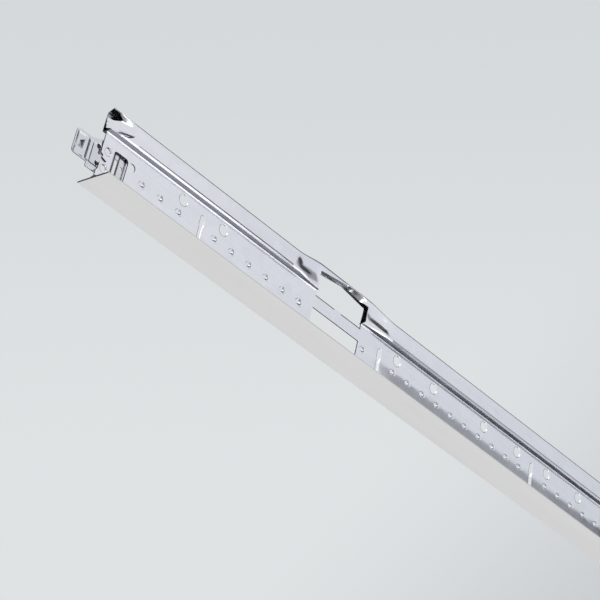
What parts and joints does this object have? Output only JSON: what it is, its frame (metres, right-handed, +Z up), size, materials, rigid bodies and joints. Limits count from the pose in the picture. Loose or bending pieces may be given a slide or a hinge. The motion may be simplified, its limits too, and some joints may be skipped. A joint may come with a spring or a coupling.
{
  "type": "ceiling grid main tee",
  "caption": "Main tee of an exposed ceiling grid: galvanised double web with hollow bulb, cross tee slots, hanger holes and fire notches, painted face cap, and splice clips.",
  "frame": {"origin": "middle of the exposed face, half way along the tee", "axes": "+X along the tee, +Z up from the exposed face through the web to the bulb, +Y across the face"},
  "size_m": [3.6924, 0.0238, 0.0451],
  "materials": {
    "galvanised_steel": "galvanised",
    "white_painted_steel": "satin",
    "clip_steel": "galvanised"
  },
  "bodies": {
    "root": {"tee_body": "galvanised_steel", "face_cap": "white_painted_steel", "splice_clip_left": "clip_steel", "splice_clip_right": "clip_steel"}
  },
  "joints": []
}
